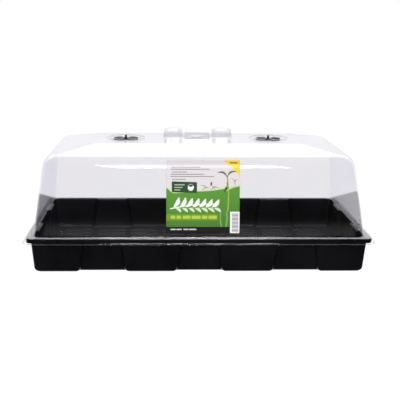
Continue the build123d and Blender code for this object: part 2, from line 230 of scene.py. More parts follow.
# %% Crown sizes
HANDLE_X, LOBE_X, LOBE_Y, LOBE_CORNER = 63.0 * MM, 38.0 * MM, 36.0 * MM, 8.0 * MM
LOBE_DRAFT, GRIP_DRAFT, SCOOP_DRAFT = 5.0, 3.0, 6.0
SCOOP_CORNER = 5.0 * MM
HANDLE_FOOT, HANDLE_CREST, SCOOP_BEND = 1.3 * MM, 2.2 * MM, 1.4 * MM
GRIP_Y, GRIP_DIP = 15.0 * MM, 1.0 * MM
SCOOP_X, SCOOP_Y, SCOOP_DEPTH, SCOOP_GAP = 47.0 * MM, 24.0 * MM, 4.0 * MM, 1.5 * MM
VENT_X = abs(vent_centres[1].x)
SEAT_RADIUS, SEAT_DEPTH, SEAT_RING = 33.5 * MM, 3.0 * MM, 1.4 * MM
SEAT_CIRCLE, SEAT_SQUARE = 36.2 * MM, 41.5 * MM
SLOT_INNER, SLOT_OUTER, SLOT_HALF_ANGLE, SLOT_COUNT = 11.0 * MM, 22.0 * MM, 19.0, 4
PIVOT_HOLE = 3.05 * MM
FLAT_X, FLAT_Y = CROWN_X - CROWN_SOFTENING, CROWN_Y - CROWN_SOFTENING
CORNER_ZONE = FLAT_X - VENT_X - SEAT_SQUARE


def wall_profile(rise, draft, foot, crest):
    """(distance in, height) up a moulded wall: a hollow arc of radius foot, a straight lean of draft degrees,
    and a round arc of radius crest. Two more points near the straight's ends hold its shading flat."""
    lean = math.radians(90 - draft)
    low, high = np.linspace(0, lean, 4), np.linspace(lean, 0, 4)
    straight = rise - (foot + crest) * (1 - math.cos(lean))
    run = (foot + crest) * math.sin(lean) + straight / math.tan(lean)
    low_in, low_up = foot * np.sin(low), foot * (1 - np.cos(low))
    high_in, high_up = run - crest * np.sin(high), rise - crest * (1 - np.cos(high))
    hold = np.array([0.06, 0.94])
    hold_in = low_in[-1] + (high_in[0] - low_in[-1]) * hold
    hold_up = low_up[-1] + (high_up[0] - low_up[-1]) * hold
    return np.concatenate([low_in, hold_in, high_in]), np.concatenate([low_up, hold_up, high_up])


HANDLE_RISE = HANDLE_TOP - ROOF_HEIGHT
lobe_wall = wall_profile(HANDLE_RISE, LOBE_DRAFT, HANDLE_FOOT, HANDLE_CREST)
grip_wall = wall_profile(HANDLE_RISE - GRIP_DIP, GRIP_DRAFT, HANDLE_FOOT, HANDLE_CREST)
scoop_wall = wall_profile(SCOOP_DEPTH, SCOOP_DRAFT, SCOOP_BEND, SCOOP_BEND)


def half_lines(marks, steps, end):
    """Grid lines from 0 to end: the marks, and even lines between them no further apart than each step says.
    A step is (from, to, distance). The lines are then mirrored about 0."""
    marks = np.unique(np.concatenate([[0.0], *marks, [end]]))
    marks = marks[np.concatenate([[True], np.diff(marks) > 0.02 * MM])]
    marks[-1] = end
    kept = [0.0]
    for low, high in zip(marks[:-1], marks[1:]):
        step = min(d for a, b, d in steps if a <= (low + high) / 2 <= b)
        count = max(1, math.ceil((high - low) / step - 1e-6))
        kept += list(np.linspace(low, high, count + 1)[1:])
    half = np.array(kept)
    return np.concatenate([-half[:0:-1], half])


vent_marks = [VENT_X - SEAT_SQUARE, VENT_X - SEAT_CIRCLE, VENT_X + SEAT_CIRCLE, VENT_X + SEAT_SQUARE]
scoop_edge = (GRIP_Y + SCOOP_Y) / 2 + SCOOP_GAP - SCOOP_Y / 2
columns = half_lines(
    [HANDLE_X - lobe_wall[0], HANDLE_X - LOBE_X + lobe_wall[0], SCOOP_X / 2 - scoop_wall[0], vent_marks],
    [(0, 0.07, 4 * MM), (0.07, 0.2, 4.6 * MM), (VENT_X - SEAT_SQUARE, VENT_X + SEAT_SQUARE, 2.6 * MM)],
    FLAT_X)
rows = half_lines(
    [LOBE_Y / 2 - lobe_wall[0], GRIP_Y / 2 - grip_wall[0], scoop_edge + scoop_wall[0],
     scoop_edge + SCOOP_Y - scoop_wall[0], [SEAT_CIRCLE, SEAT_SQUARE]],
    [(0, 0.05, 2.6 * MM), (0.03, 0.2, 3.4 * MM)], FLAT_Y)
print("crown grid", len(columns), "by", len(rows))


# %% Crown shape
def rounded(x, y, half_x, half_y, corner):
    """Carries the crown's grid onto a rectangle with round corners. In a corner square (p, q) goes to
    (p sqrt(1 - q^2 / 2), q sqrt(1 - p^2 / 2)), a quarter of a disc; between corners it only stretches."""
    straight_x, straight_y = FLAT_X - CORNER_ZONE, FLAT_Y - CORNER_ZONE
    p = np.clip((np.abs(x) - straight_x) / CORNER_ZONE, 0, 1)
    q = np.clip((np.abs(y) - straight_y) / CORNER_ZONE, 0, 1)
    out_x = (half_x - corner) * np.minimum(np.abs(x) / straight_x, 1) + corner * p * np.sqrt(1 - q * q / 2)
    out_y = (half_y - corner) * np.minimum(np.abs(y) / straight_y, 1) + corner * q * np.sqrt(1 - p * p / 2)
    return np.sign(x) * out_x, np.sign(y) * out_y


def round_vents(x, y):
    """Bends the square rings of lines round each vent into circles: SEAT_CIRCLE fully, SEAT_SQUARE not."""
    for centre in (-VENT_X, VENT_X):
        dx, dy = x - centre, y
        ring = np.maximum(np.maximum(np.abs(dx), np.abs(dy)), 1e-9)
        p, q = dx / ring, dy / ring
        share = np.clip((SEAT_SQUARE - ring) / (SEAT_SQUARE - SEAT_CIRCLE), 0, 1)
        x = x + share * (ring * p * np.sqrt(1 - q * q / 2) - dx)
        y = y + share * (ring * q * np.sqrt(1 - p * p / 2) - dy)
    return x, y


def inside_distance(x, y, length, width, corner):
    """How far a point lies inside a rounded rectangle about the origin, negative outside."""
    qx, qy = np.abs(x) - length / 2 + corner, np.abs(y) - width / 2 + corner
    outside = np.hypot(np.maximum(qx, 0), np.maximum(qy, 0))
    return corner - outside - np.minimum(np.maximum(qx, qy), 0)


def crown_height(x, y):
    """Height above the crown: the higher of the lobes and the bar between them, less the finger hollows."""
    lobe_x = HANDLE_X - LOBE_X / 2
    lobe = inside_distance(np.abs(x) - lobe_x, y, LOBE_X, LOBE_Y, LOBE_CORNER)
    bar = np.where(np.abs(x) < lobe_x, GRIP_Y / 2 - np.abs(y), -1.0)
    hollow_y = (GRIP_Y + SCOOP_Y) / 2 + SCOOP_GAP
    hollow = inside_distance(x, np.abs(y) - hollow_y, SCOOP_X, SCOOP_Y, SCOOP_CORNER)
    up = np.maximum(np.interp(lobe, *lobe_wall), np.interp(bar, *grip_wall))
    return up - np.interp(hollow, *scoop_wall)


# %% Crown grid, and the perimeter that all rings share
grid_x, grid_y = np.meshgrid(columns, rows)
flat_x, flat_y = rounded(*round_vents(grid_x, grid_y), FLAT_X, FLAT_Y, CORNER_ZONE)
crown_points = np.stack([flat_x, flat_y, ROOF_HEIGHT + crown_height(flat_x, flat_y)], -1).reshape(-1, 3)
crown_quads = grid_faces(len(rows), len(columns))
quad_x = grid_x.ravel()[crown_quads].mean(1)
quad_y = grid_y.ravel()[crown_quads].mean(1)
in_seat = (np.abs(np.abs(quad_x) - VENT_X) < SEAT_CIRCLE) & (np.abs(quad_y) < SEAT_CIRCLE)
crown_quads = crown_quads[~in_seat]


def border(xs, ys):
    """The outer points of a grid in order, anticlockwise from its lowest left corner."""
    low, right = [(x, ys[0]) for x in xs[:-1]], [(xs[-1], y) for y in ys[:-1]]
    top, left = [(x, ys[-1]) for x in xs[:0:-1]], [(xs[0], y) for y in ys[:0:-1]]
    return np.array(low + right + top + left)


perimeter = border(columns, rows)


# %% Vent seats: spokes and rings
def seat_patch(centre, first):
    """Rings of points about a vent, each (radius, height above crown), and the faces between the slots."""
    inside_x = columns[np.abs(columns - centre) <= SEAT_CIRCLE * 1.0001]
    inside_y = rows[np.abs(rows) <= SEAT_CIRCLE * 1.0001]
    ring = border(inside_x, inside_y) - np.array([centre, 0.0])
    p, q = ring[:, 0] / SEAT_CIRCLE, ring[:, 1] / SEAT_CIRCLE
    spokes = np.column_stack([p * np.sqrt(1 - q * q / 2), q * np.sqrt(1 - p * p / 2)])
    crest, floor = SEAT_RADIUS + DOME_WALL / 2, SEAT_RADIUS - DOME_WALL
    profile = np.array([
        (SEAT_CIRCLE, 0.0), (crest + 1.7 * MM, 0.05 * MM), (crest + 1.3 * MM, 0.4 * MM),
        (crest + 1.0 * MM, SEAT_RING * 0.75), (crest + 0.7 * MM, SEAT_RING * 0.95),
        (crest + 0.3 * MM, SEAT_RING),
        (crest - 0.1 * MM, SEAT_RING * 0.95), (crest - 0.4 * MM, SEAT_RING * 0.7), (SEAT_RADIUS, 0.0),
        (SEAT_RADIUS - 0.1 * MM, -SEAT_DEPTH * 0.6), (SEAT_RADIUS - 0.4 * MM, -SEAT_DEPTH * 0.9),
        (floor, -SEAT_DEPTH), (floor - 1.0 * MM, -SEAT_DEPTH), (SLOT_OUTER + 1 * MM, -SEAT_DEPTH),
        (SLOT_OUTER, -SEAT_DEPTH), ((SLOT_OUTER + SLOT_INNER) / 2, -SEAT_DEPTH), (SLOT_INNER, -SEAT_DEPTH),
        (7.0 * MM, -SEAT_DEPTH), (PIVOT_HOLE, -SEAT_DEPTH),
    ])
    around = profile[:, :1, None] * spokes[None] + np.array([centre, 0.0])
    heights = np.repeat(ROOF_HEIGHT + profile[:, 1], len(ring))
    points = np.column_stack([around.reshape(-1, 2), heights])
    quads = ring_faces(len(profile), len(ring))
    middle = points[quads].mean(1)
    radius = np.hypot(middle[:, 0] - centre, middle[:, 1])
    angle = np.degrees(np.arctan2(middle[:, 1], middle[:, 0] - centre))
    pitch = 360 / SLOT_COUNT
    off = np.abs((angle + pitch / 2) % pitch - pitch / 2)
    slot = (radius < SLOT_OUTER) & (radius > SLOT_INNER) & (off < SLOT_HALF_ANGLE)
    return points, quads[~slot] + first


# %% Build the dome
stations = dome_stations()
roof = roof_stations(stations[-1], CORNER_ZONE)
rings = np.column_stack([
    LIP_X - stations[:, 0] - stations[:, 2], LIP_Y - stations[:, 0], stations[:, 3], stations[:, 1]
])
rings = np.vstack([rings, roof])
ring_points = []
for half_x, half_y, corner, height in rings:
    ring_x, ring_y = rounded(perimeter[:, 0], perimeter[:, 1], half_x, half_y, corner)
    ring_points.append(np.column_stack([ring_x, ring_y, np.full(len(ring_x), height)]))
points = [np.vstack(ring_points)]
faces = [ring_faces(len(rings), len(perimeter))]
faces.append(crown_quads + len(points[0]))
points.append(crown_points)
for centre in (-VENT_X, VENT_X):
    seat_points, seat_quads = seat_patch(centre, sum(len(p) for p in points))
    points.append(seat_points)
    faces.append(seat_quads)
dome = clean(mesh_piece("clear_dome", np.vstack(points), np.vstack(faces)))
thicken(dome, DOME_WALL - CLEAR_OF_TRAY)
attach(dome, "dome")
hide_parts("dome_lid")
print("dome triangles with its wall", 4 * len(dome.data.polygons))
print("rings", len(rings), "points in a ring", len(perimeter))

# %% [markdown]
# ## The tray
# The black tray is the same kind of sheet, upside down: a rim that turns down, a ledge, a tub whose long
# walls have three recesses and whose short walls have two, and a floor with raised bars. The wall's
# outline is worked out at each height, because a recess gets wider towards the floor. Its lines follow
# the recess's slanted edges, so those edges stay crisp and evenly rounded.

# %% Tray sizes
TRAY_WALL = 1.5 * MM
RIM_X, RIM_Y, RIM_FOOT = tray_high.x, tray_high.y, RIM_TOP - 7.2 * MM
LEDGE = 6.3 * MM
TRAY_DRAFT = math.radians(4.5)
RIM_CORNER, TUB_CORNER = 10.0 * MM, 6.5 * MM
FLOOR_BEND = 7.0 * MM
RECESS_DEPTH, RECESS_SPREAD, RECESS_SLOPE = 7.0 * MM, 8.0 * MM, 5.4 * MM
LONG_CENTRES, LONG_MOUTH = np.array([-163.5, 0.0, 163.5]) * MM, 31.5 * MM + TRAY_WALL
SHORT_CENTRES, SHORT_MOUTH = np.array([-75.2, 75.2]) * MM, 29.5 * MM + TRAY_WALL
FOOT_FLARE = 0.9
EDGE_LINES = np.array([-2.5, -1.0, -0.2, 0.5, 1.2, 1.9, 2.6, 3.3, 4.0, 4.8, 5.6, 7.0]) * MM


def side_outline(half_side, centres, mouth):
    """Places along one side and how far each is pushed in: RECESS_DEPTH times a smooth step of the distance
    inside a recess's mouth."""
    along = [np.array([-half_side])]
    for centre in centres:
        along += [centre - mouth + EDGE_LINES, centre + mouth - EDGE_LINES[::-1]]
    along = np.concatenate(along + [np.array([half_side])])
    nearest = np.min(np.abs(along[:, None] - centres[None]), 1)
    return along, RECESS_DEPTH * smooth_step((mouth - nearest) / RECESS_SLOPE)


def tray_outline(half_x, half_y, corner, spread, push):
    """Closed outline: wavy long side, round corner, wavy short side, then the same turned half round."""
    along, depth = side_outline(half_x - corner, LONG_CENTRES, LONG_MOUTH + spread)
    long_side = np.column_stack([along, -half_y + depth * push])
    turn = np.radians(np.linspace(-90, 0, 9)[1:-1])
    bend = np.column_stack([
        half_x - corner + corner * np.cos(turn), -half_y + corner + corner * np.sin(turn)])
    along, depth = side_outline(half_y - corner, SHORT_CENTRES, SHORT_MOUTH + spread)
    short_side = np.column_stack([half_x - depth * push, along])
    turn = np.radians(np.linspace(0, 90, 9)[1:-1])
    far_bend = np.column_stack([
        half_x - corner + corner * np.cos(turn), half_y - corner + corner * np.sin(turn)])
    half = np.vstack([long_side, bend, short_side, far_bend])
    return np.vstack([half, -half])


# %% Tray rings
def tray_rings():
    """(inset, height, corner, recess spread, recess push) from the rim's lower edge to the floor."""
    rim_bend, mouth_bend = 1.8 * MM, 2.0 * MM
    mouth = LEDGE + TRAY_WALL
    rim = [(0.0, RIM_FOOT), (0.0, RIM_TOP - rim_bend - 1 * MM)]
    rim += list(map(tuple, arc(rim_bend, RIM_TOP - rim_bend, rim_bend, 180, 90, 6)))
    rim += [(rim_bend + 0.4 * MM, RIM_TOP)]
    table = [(s, z, RIM_CORNER - (RIM_CORNER - TUB_CORNER) * s / mouth, 0.0, 0.0) for s, z in rim]
    bend = arc(mouth - mouth_bend, RIM_TOP - mouth_bend, mouth_bend, 90, math.degrees(TRAY_DRAFT), 6)
    table += [(bend[0, 0] - 0.4 * MM, RIM_TOP, TUB_CORNER, 0.0, 1.0)]
    table += [(s, z, TUB_CORNER, 0.0, 1.0) for s, z in bend]
    low = TRAY_WALL + FLOOR_BEND
    for z in np.linspace(bend[-1, 1] - 1.5 * MM, low + 1 * MM, 10):
        spread = RECESS_SPREAD * (RIM_TOP - z) / (RIM_TOP - low)
        table.append((mouth + (RIM_TOP - z) * math.tan(TRAY_DRAFT), z, TUB_CORNER, spread, 1.0))
    foot = mouth + (RIM_TOP - low) * math.tan(TRAY_DRAFT)
    for s, z in arc(foot + FLOOR_BEND, low, FLOOR_BEND, 180, 270, 7):
        table.append((s, z, TUB_CORNER, RECESS_SPREAD + FOOT_FLARE * (s - foot), 1.0))
    return table


tray_table = tray_rings()
outlines = []
for inset, height, corner, spread, push in tray_table:
    outline = tray_outline(RIM_X - inset, RIM_Y - inset, corner, spread, push)
    outlines.append(np.column_stack([outline, np.full(len(outline), height)]))
print("tray outline has", len(outlines[0]), "points, in", len(outlines), "rings")

# %% Floor bars
BAR_HEIGHT, BAR_WIDTH, BAR_PITCH = 3.5 * MM, 11.0 * MM, 22.0 * MM
BAR_COLUMNS, CHANNEL = 8, 8.0 * MM
FIELD_X, FIELD_Y = 260.4 * MM, 127.0 * MM
BAR_PROFILE = np.array([0.0, 0.35, 0.8, 1.3, 1.7, 2.2]) * MM


def bar_lines(half_field, pitch, length, count):
    """Lines across one direction of the floor: BAR_PROFILE at both ends of every bar, and the edges."""
    starts = (np.arange(count) - (count - 1) / 2) * pitch - length / 2
    marks = [np.array([-half_field, half_field])]
    for start in starts:
        marks += [start + BAR_PROFILE, start + length - BAR_PROFILE]
    return np.unique(np.round(np.concatenate(marks), 7))


bar_length = 2 * FIELD_X / BAR_COLUMNS - CHANNEL
bar_pitch_x = 2 * FIELD_X / BAR_COLUMNS
BAR_ROWS = 1 + int((2 * FIELD_Y - BAR_WIDTH) / BAR_PITCH)
floor_x = bar_lines(FIELD_X, bar_pitch_x, bar_length, BAR_COLUMNS)
floor_y = bar_lines(FIELD_Y, BAR_PITCH, BAR_WIDTH, BAR_ROWS)


def distance_in_bar(at, pitch, length, count):
    """How far a place is inside the nearest bar along one direction, negative in a channel."""
    slot = np.clip(np.round(at / pitch + (count - 1) / 2), 0, count - 1)
    middle = (slot - (count - 1) / 2) * pitch
    return length / 2 - np.abs(at - middle)


field_x, field_y = np.meshgrid(floor_x, floor_y)
into_x = distance_in_bar(field_x, bar_pitch_x, bar_length, BAR_COLUMNS)
into_y = distance_in_bar(field_y, BAR_PITCH, BAR_WIDTH, BAR_ROWS)
bar_rise = BAR_HEIGHT * smooth_step(np.minimum(into_x, into_y) / BAR_PROFILE[-1])
field_points = np.stack([field_x, field_y, TRAY_WALL + bar_rise], -1).reshape(-1, 3)
print("floor grid", len(floor_x), "by", len(floor_y), "rows of bars", BAR_ROWS)


# %% Build the tray
def fill_flat(piece, height):
    """Fills the flat ring between the wall's last outline and the field of bars with triangles."""
    bm = bmesh.new()
    bm.from_mesh(piece.data)
    bmesh.ops.remove_doubles(bm, verts=bm.verts, dist=MERGE)
    open_edges = [e for e in bm.edges if e.is_boundary and abs(e.verts[0].co.z - height) < 1e-6]
    open_edges = [e for e in open_edges if abs(e.verts[1].co.z - height) < 1e-6]
    made = bmesh.ops.triangle_fill(bm, use_beauty=True, edges=open_edges, normal=(0, 0, 1))
    new_faces = [g for g in made["geom"] if isinstance(g, bmesh.types.BMFace)]
    for face in new_faces:
        face.smooth = True
        if face.normal.z < 0:
            face.normal_flip()
    bm.to_mesh(piece.data)
    bm.free()
    return len(new_faces)


tray_points = np.vstack(outlines + [field_points])
wall_faces = ring_faces(len(outlines), len(outlines[0]))
field_faces = grid_faces(len(floor_y), len(floor_x), len(outlines) * len(outlines[0]))
tray = mesh_piece("black_tray", tray_points, np.vstack([wall_faces, field_faces]))
print("flat floor filled with", fill_flat(tray, TRAY_WALL), "triangles")
thicken(tray, TRAY_WALL)
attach(tray, "tray")
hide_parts("seed_tray")
print("tray faces", len(tray.data.polygons))

# %% [markdown]
# ## The two vent rotors
# Each vent is a black disc with four petals, a hub and a small finger knob, and it clicks into its seat.
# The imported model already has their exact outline, because they turn in the seats, so a copy of that mesh
# is merged and its edges get a small bevel. That takes away the knife-sharp look that a moulded part
# never has.

# %% Copies of the rotors with soft edges
def softened(node, body, name, width):
    """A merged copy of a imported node's mesh with its sharp edges rounded by width."""
    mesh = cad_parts[node].data.copy()
    mesh.name = name
    bm = bmesh.new()
    bm.from_mesh(mesh)
    bmesh.ops.remove_doubles(bm, verts=bm.verts, dist=1e-6)
    bmesh.ops.dissolve_limit(bm, angle_limit=math.radians(1), verts=bm.verts, edges=bm.edges)
    bm.to_mesh(mesh)
    bm.free()
    piece = bpy.data.objects.new(name, mesh)
    bpy.context.scene.collection.objects.link(piece)
    mesh.polygons.foreach_set("use_smooth", np.ones(len(mesh.polygons), bool))
    edge = piece.modifiers.new("soft edge", "BEVEL")
    edge.width = width
    edge.segments = 2
    edge.limit_method = "ANGLE"
    edge.angle_limit = math.radians(35)
    edge.harden_normals = True
    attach(piece, body)
    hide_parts(node)
    print(name, "has", len(mesh.polygons), "faces")
    return piece


ROTOR_BEVEL = 0.25 * MM
rotors = [
    softened("vent_rotor_left", "vent_left", "rotor_left", ROTOR_BEVEL),
    softened("vent_rotor_right", "vent_right", "rotor_right", ROTOR_BEVEL),
]

# %% [markdown]
# ## The label
# The label is a printed sheet stuck on the front wall, and its top edge follows the shoulder. It is a
# fine grid laid on the dome's own profile, a little in front of it, and the print is painted into the
# grid's points by formula: flat colour fields, a leaf sprig, seedlings and plain bars. It carries no
# lettering, only shapes.

# %% Label surface
LABEL_TOP, LABEL_FOOT = label_high.z, label_low.z
LABEL_LEFT, LABEL_RIGHT = label_low.x, label_high.x
LABEL_PROUD = 0.3 * MM
LABEL_COLUMNS, LABEL_ROWS = 301, 311
BACKING_PROUD = 0.04 * MM
BACKING_COLUMNS, BACKING_ROWS = 21, 41
PROFILE_STEPS = 60


def front_profile(offset, steps):
    """(distance along, y, z) down the front: the shoulder's arc and the straight wall, moved outwards."""
    top_angle = math.asin((LABEL_TOP - arc_height) / (SHOULDER_RADIUS + offset))
    inset, height = shoulder_point(np.linspace(top_angle, SIDE_DRAFT, PROFILE_STEPS), offset)
    heights = np.linspace(height[-1], LABEL_FOOT, PROFILE_STEPS)[1:]
    wall = wall_inset(heights) - offset / math.cos(SIDE_DRAFT)
    inset, height = np.concatenate([inset, wall]), np.concatenate([height, heights])
    along = np.concatenate([[0], np.cumsum(np.hypot(np.diff(inset), np.diff(height)))])
    even = np.linspace(0, along[-1], steps)
    return even, np.interp(even, along, inset) - LIP_Y, np.interp(even, along, height)


def label_sheet(name, offset, across_count, down_count, flip):
    """A grid on the front profile. Its outermost rows and columns lie on the dome, so the edge is closed."""
    along, out_y, out_z = front_profile(offset, down_count)
    _, in_y, in_z = front_profile(0.0, down_count)
    across = np.linspace(LABEL_LEFT, LABEL_RIGHT, across_count)
    rim = np.zeros((down_count, across_count), bool)
    rim[[0, -1], :] = True
    rim[:, [0, -1]] = True
    y = np.where(rim, in_y[:, None], out_y[:, None])
    z = np.where(rim, in_z[:, None], out_z[:, None])
    x = np.repeat(across[None], down_count, 0)
    quads = grid_faces(down_count, across_count)
    quads = quads if flip else quads[:, ::-1]
    piece = mesh_piece(name, np.stack([x, y, z], -1).reshape(-1, 3), quads)
    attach(piece, "dome")
    return piece, along[-1]


label, label_height = label_sheet("label_front", LABEL_PROUD, LABEL_COLUMNS, LABEL_ROWS, False)
backing = label_sheet("label_backing", BACKING_PROUD, BACKING_COLUMNS, BACKING_ROWS, True)[0]
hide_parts("front_label")
label_width = LABEL_RIGHT - LABEL_LEFT
print("label is", round(label_width / MM, 1), "by", round(label_height / MM, 1), "mm along its surface")


# %% Paint tools
def linear(red, green, blue):
    """A screen colour from 0 to 255 as the linear light that Blender mixes."""
    c = np.array([red, green, blue]) / 255
    return np.where(c <= 0.04045, c / 12.92, ((c + 0.055) / 1.055) ** 2.4)


wide, tall = label_width / MM, label_height / MM
paint_x, paint_y = np.meshgrid(np.linspace(0, wide, LABEL_COLUMNS), np.linspace(0, tall, LABEL_ROWS))
canvas = np.zeros((LABEL_ROWS, LABEL_COLUMNS, 3)) + linear(216, 210, 214)
EDGE = 0.35


def cover(distance):
    """How much of a point is painted: 1 well inside a shape, 0 outside, and a ramp EDGE wide between them."""
    return np.clip(distance / EDGE + 0.5, 0, 1)


def paint(colour, mask):
    """Lays a colour over the canvas where the mask is 1."""
    canvas[:] = canvas * (1 - mask[..., None]) + linear(*colour) * mask[..., None]


def bar(left, right, top, bottom, corner=0.4, slope=0.0):
    """A rounded rectangle between two shares of the width and two of the height, sheared down by slope."""
    x, y = paint_x - (left + right) / 2 * wide, paint_y - (top + bottom) / 2 * tall
    y = y - slope * x
    qx, qy = np.abs(x) - (right - left) / 2 * wide + corner, np.abs(y) - (bottom - top) / 2 * tall + corner
    return cover(corner - np.hypot(np.maximum(qx, 0), np.maximum(qy, 0)) - np.minimum(np.maximum(qx, qy), 0))


def oval(middle, height, half_x, half_y, turn=0.0):
    """An ellipse by its middle in shares of the label and its half sizes in mm, turned by degrees."""
    x, y = paint_x - middle * wide, paint_y - height * tall
    c, s = math.cos(math.radians(turn)), math.sin(math.radians(turn))
    return cover((1 - np.hypot((x * c + y * s) / half_x, (y * c - x * s) / half_y)) * min(half_x, half_y))


def strip(start, end, thickness, bow=0.0, taper=False):
    """A bent strip between two points. Its middle is bowed sideways by a share of its length, and with taper
    its width follows a half sine, which makes a leaf."""
    x0, y0, x1, y1 = start[0] * wide, start[1] * tall, end[0] * wide, end[1] * tall
    length = math.hypot(x1 - x0, y1 - y0)
    dx, dy = (x1 - x0) / length, (y1 - y0) / length
    t = ((paint_x - x0) * dx + (paint_y - y0) * dy) / length
    off = (paint_y - y0) * dx - (paint_x - x0) * dy - bow * length * np.sin(np.pi * np.clip(t, 0, 1))
    half = thickness / 2 * (np.sin(np.pi * np.clip(t, 0, 1)) ** 0.8 if taper else 1.0)
    return cover(half - np.abs(off)) * cover(np.minimum(t, 1 - t) * length)


# %% Paint the fields
field_u = np.array([0.0, 0.08, 0.25, 0.42, 0.62, 0.84, 1.0])
field_v = np.array([0.37, 0.455, 0.445, 0.43, 0.42, 0.385, 0.355])
bend = np.interp(paint_x / wide, field_u, field_v)
kernel = np.hanning(35) / np.hanning(35).sum()
edge_line = np.convolve(np.pad(bend[0], 17, mode="edge"), kernel, mode="valid")
below = (paint_y / tall - edge_line[None]) * tall
paint((196, 214, 160), cover(below + 2.2))
paint((84, 146, 40), cover(below))
deep = np.clip(below / (0.55 * tall), 0, 1)
canvas[:] = canvas * (1 - 0.35 * (deep * (below > 0))[..., None])
for top, left, right in ((0.100, 0.07, 0.46), (0.127, 0.06, 0.59), (0.165, 0.08, 0.28), (0.195, 0.06, 0.51),
                         (0.225, 0.06, 0.65), (0.265, 0.08, 0.26)):
    dashes = 0.45 + 0.55 * (np.sin(paint_x * 2.9 + 40 * top) > -0.55)
    paint((112, 108, 114), bar(left, right, top - 0.0055, top + 0.0055) * dashes)
corner_x, corner_y = (wide - paint_x) / (0.25 * wide), paint_y / (0.25 * tall)
paint((236, 204, 44), cover((1 - corner_x ** 0.8 - corner_y ** 0.8) * 10))
paint((92, 84, 40), bar(0.86, 0.965, 0.030, 0.046))
paint((30, 70, 38), bar(0.075, 0.417, 0.297, 0.445, 1.0, 0.03))
paint((238, 240, 236), oval(0.333, 0.375, 5.0, 5.6))
paint((30, 70, 38), oval(0.333, 0.350, 3.4, 2.0))
for step in range(3):
    paint((190, 206, 180), bar(0.11, 0.25 - 0.03 * step, 0.333 + 0.035 * step, 0.344 + 0.035 * step))
paint((112, 146, 24), bar(-0.01, 0.705, 0.735, 0.825, 0.1))
for left, right in ((0.06, 0.125), (0.14, 0.20), (0.225, 0.33), (0.345, 0.47), (0.485, 0.56), (0.575, 0.69)):
    paint((172, 202, 66), bar(left, right, 0.758, 0.802, 1.2))
print("label fields painted")

# %% Paint the shapes
paint((226, 234, 220), strip((0.05, 0.665), (0.70, 0.600), 2.0, -0.03))
for step, stalk in enumerate(np.linspace(0.10, 0.62, 7)):
    lean = 0.075 + 0.004 * step
    paint((232, 238, 226), strip((stalk, 0.645), (stalk + lean, 0.505 + 0.005 * step), 7.0, 0.12, True))
    paint((206, 222, 190), strip((stalk + 0.03, 0.655), (stalk + 0.03 + lean, 0.715), 5.0, -0.12, True))
paint((120, 168, 84), strip((0.745, 0.70), (0.755, 0.91), 2.2, 0.06))
paint((120, 168, 84), strip((0.82, 0.70), (0.815, 0.91), 2.6, -0.05))
paint((150, 168, 70), strip((0.838, 0.70), (0.826, 0.215), 2.4, 0.03))
paint((98, 106, 52), strip((0.828, 0.50), (0.822, 0.30), 1.0, 0.03))
paint((86, 90, 50), strip((0.830, 0.245), (0.69, 0.175), 3.4, 0.26, True))
paint((128, 134, 66), strip((0.822, 0.220), (0.700, 0.165), 1.4, 0.24, True))
paint((84, 98, 48), strip((0.826, 0.235), (0.955, 0.160), 3.6, -0.24, True))
paint((126, 140, 66), strip((0.836, 0.215), (0.950, 0.150), 1.4, -0.22, True))
paint((60, 70, 40), oval(0.61, 0.325, 1.4, 3.4, 8))
small_leaves = (
    ((0.49, 0.43), (0.60, 0.385), 1.3, -0.3), ((0.60, 0.43), (0.73, 0.385), 1.5, -0.3),
    ((0.55, 0.41), (0.46, 0.345), 1.1, 0.25), ((0.66, 0.41), (0.60, 0.35), 1.1, 0.2),
    ((0.93, 0.36), (0.87, 0.245), 1.2, 0.25), ((0.92, 0.32), (0.985, 0.27), 1.2, -0.3),
)
for start, end, thick, bow in small_leaves:
    paint((138, 120, 84), strip(start, end, thick, bow, True))
paint((52, 78, 36), strip((0.785, 0.445), (0.815, 0.355), 4.4, 0.12, True))
paint((196, 214, 150), strip((0.80, 0.43), (0.995, 0.355), 2.0, -0.08, True))
paint((8, 8, 10), bar(-0.01, 0.867, 0.912, 1.01, 0.1))
for left, right in ((0.06, 0.13), (0.14, 0.21), (0.235, 0.30), (0.31, 0.41)):
    paint((204, 204, 204), bar(left, right, 0.938, 0.956))
paint((240, 240, 240), bar(0.872, 1.01, 0.705, 1.01, 0.1))
for line in range(22):
    thick = 0.35 + 0.5 * abs(math.sin(line * 2.4))
    place = 0.722 + line * 0.0122
    paint((24, 24, 26), bar(0.895, 0.985, place, place + thick / tall, 0.05))
colours = label.data.color_attributes.new("print", "FLOAT_COLOR", "POINT")
colours.data.foreach_set("color", np.dstack([canvas, np.ones(canvas.shape[:2])]).astype(np.float32).ravel())
print("label painted on", canvas.shape[0] * canvas.shape[1], "points")

# %% [markdown]
# ## Finishes
# A finish is a few nodes. The black sheet is a dull plastic whose gloss is a little uneven, with a fine
# orange peel from the mould. The clear sheet is not made with the glass shader, which would need many
# light bounces: light passes straight through so thin a wall, so a tint and a mirror are mixed by the
# viewing angle.

# %% Node helpers
def finish(name):
    """A new material and its node tree, with the output node only."""
    material = bpy.data.materials.new(name)
    material.use_nodes = True
    material.node_tree.nodes.clear()
    output = material.node_tree.nodes.new("ShaderNodeOutputMaterial")
    return material, material.node_tree, output


def node(tree, kind, **values):
    """Adds a node and sets its sockets, or its own settings, by name."""
    made = tree.nodes.new(kind)
    for key, value in values.items():
        socket = made.inputs.get(key.replace("_", " "))
        if socket is not None:
            socket.default_value = value
        else:
            setattr(made, key, value)
    return made


def noise_at(tree, scale, detail=3.0, stretch=(1, 1, 1)):
    """A noise pattern fixed to the object, in blobs per metre."""
    place = node(tree, "ShaderNodeTexCoord")
    mapping = node(tree, "ShaderNodeMapping", Scale=stretch)
    noise = node(tree, "ShaderNodeTexNoise", Scale=scale, Detail=detail)
    tree.links.new(place.outputs["Object"], mapping.inputs["Vector"])
    tree.links.new(mapping.outputs["Vector"], noise.inputs["Vector"])
    return noise


